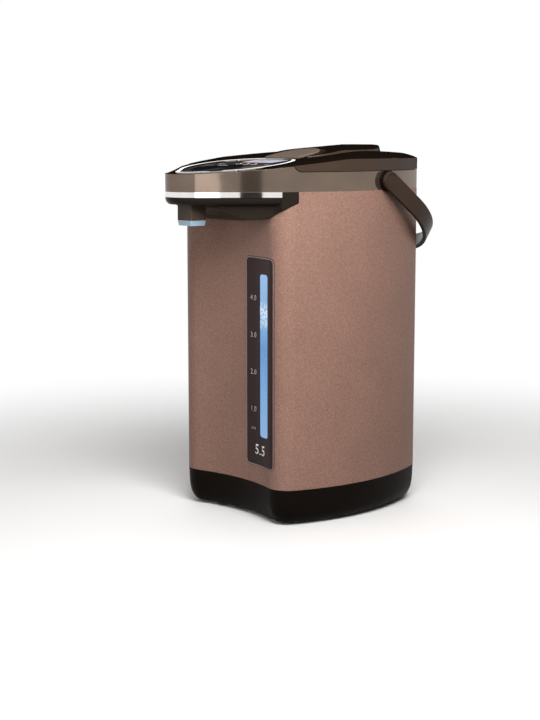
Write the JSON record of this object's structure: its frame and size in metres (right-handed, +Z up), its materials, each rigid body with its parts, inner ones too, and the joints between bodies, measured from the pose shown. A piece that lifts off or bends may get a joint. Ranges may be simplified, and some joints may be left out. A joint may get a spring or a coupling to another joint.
{
  "type": "electric thermo pot",
  "caption": "Tall electric hot-water dispenser with a heated tank, beaked head with control panel and spout, hinged lid with latch, water gauge and swinging carry handle.",
  "frame": {"origin": "centre of the footprint on the table, at the underside of the rubber feet", "axes": "+Z up, the spout points along -Y, +X towards the side with the water gauge, mains inlet on +Y"},
  "size_m": [0.196, 0.2836, 0.352],
  "materials": {
    "sleeve_steel": "speckled metallic copper-brown paint on steel",
    "head_plastic": "glossy taupe-brown moulding",
    "lid_plastic": "glossy dark taupe moulding",
    "handle_plastic": "glossy dark brown moulding",
    "dark_plastic": "near-black brown, glossy",
    "cover_plastic": "matt black",
    "bright_trim": "polished trim",
    "panel_plastic": "lacquered grey-brown panel",
    "button_plastic": "piano black lens",
    "key_plastic": "grey-brown key",
    "display_glass": "pale lavender-grey display window",
    "lamp_plastic": "clear lamp light pipe",
    "gauge_plastic": "dark plum-grey gauge panel",
    "window_plastic": "clear window lit blue from behind",
    "clear_tube": "clear sight tube",
    "light_bar": "blue light bar",
    "spout_light": "frosted clear light ring",
    "float_plastic": "red bead",
    "stainless": "drawn stainless steel",
    "steel": "zinc-plated steel",
    "heater_mica": "mica heater band",
    "insulation": "felt insulation",
    "silicone": "translucent silicone",
    "foot_rubber": "soft black rubber",
    "board": "green circuit board",
    "pump_plastic": "off-white heat-proof plastic",
    "magnet": "ferrite",
    "brass": "plated contact pins"
  },
  "bodies": {
    "housing": {"base_ring": "dark_plastic", "bottom_cover": "cover_plastic", "foot_pads": "foot_rubber", "base_screws": "steel", "outer_shell": "sleeve_steel", "gauge_bezel": "gauge_plastic", "gauge_window": "window_plastic", "gauge_tube": "clear_tube", "gauge_float": "float_plastic", "gauge_light": "light_bar", "inner_tank": "stainless", "heater_band": "heater_mica", "insulation_sleeve": "insulation", "thermostats": "cover_plastic", "tank_support": "pump_plastic", "pump_housing": "pump_plastic", "pump_motor": "steel", "inlet_hose": "silicone", "riser_hose": "silicone", "outlet_hose": "silicone", "power_board": "board", "power_inlet": "cover_plastic", "inlet_pins": "brass", "tank_seal": "silicone", "mouth_funnel": "pump_plastic", "mouth_plate": "pump_plastic", "tank_base": "stainless", "head_housing": "head_plastic", "beak_strip": "bright_trim", "beak_bowl": "dark_plastic", "spout_block": "dark_plastic", "spout_tip": "spout_light", "panel_trim_ring": "bright_trim", "control_panel": "panel_plastic", "control_board": "board", "display_module": "cover_plastic", "display_window": "display_glass", "indicator_lamps": "lamp_plastic", "hinge_pin": "steel", "handle_bosses": "handle_plastic", "handle_pivots": "handle_plastic"},
    "lid": {"lid_cover": "lid_plastic", "lid_liner": "pump_plastic", "lid_gasket": "silicone", "lid_screws": "steel", "steam_vent": "dark_plastic", "steam_tube": "pump_plastic", "latch_pin": "steel", "latch_spring": "steel"},
    "latch": {"latch_lever": "head_plastic"},
    "handle": {"handle_bail": "handle_plastic", "handle_grip": "handle_plastic"},
    "dispense_key": {"dispense_button": "button_plastic"},
    "unlock_key": {"unlock_button": "key_plastic"},
    "reboil_key": {"reboil_button": "key_plastic"},
    "rotor": {"drive_magnet": "magnet"},
    "impeller": {"pump_impeller": "pump_plastic"}
  },
  "joints": [
    {"name": "lid_hinge", "type": "hinge", "parent": "housing", "child": "lid", "pos_m": [0, 0.097, 0.3385], "axis": [-1, 0, 0], "range_deg": [0, 85]},
    {"name": "latch_pivot", "type": "hinge", "parent": "lid", "child": "latch", "pos_m": [0, -0.012, 0.3358], "axis": [-1, 0, 0], "range_deg": [0, 12], "stiffness_Nm_per_rad": 0.08, "springref_deg": -8.59, "deforming": ["latch_spring"]},
    {"name": "handle_swing", "type": "hinge", "parent": "housing", "child": "handle", "pos_m": [0, 0.0262, 0.3188], "axis": [1, 0, 0], "range_deg": [0, 126]},
    {"name": "dispense_press", "type": "slide", "parent": "housing", "child": "dispense_key", "axis": [0, 0, -1], "range_m": [0, 0.0012], "stiffness_N_per_m": 400, "springref_m": -0.0008},
    {"name": "unlock_press", "type": "slide", "parent": "housing", "child": "unlock_key", "axis": [0, 0, -1], "range_m": [0, 0.0012], "stiffness_N_per_m": 300, "springref_m": -0.0008},
    {"name": "reboil_press", "type": "slide", "parent": "housing", "child": "reboil_key", "axis": [0, 0, -1], "range_m": [0, 0.0012], "stiffness_N_per_m": 300, "springref_m": -0.0008},
    {"name": "rotor_spin", "type": "hinge", "parent": "housing", "child": "rotor", "pos_m": [-0.028, 0.016, 0.029], "axis": [0, 0, 1], "continuous": true},
    {"name": "impeller_spin", "type": "hinge", "parent": "housing", "child": "impeller", "pos_m": [-0.028, 0.016, 0.038], "axis": [0, 0, 1], "continuous": true}
  ],
  "couplings": [
    {"joint": "impeller_spin", "follows": "rotor_spin", "ratio": 1}
  ]
}
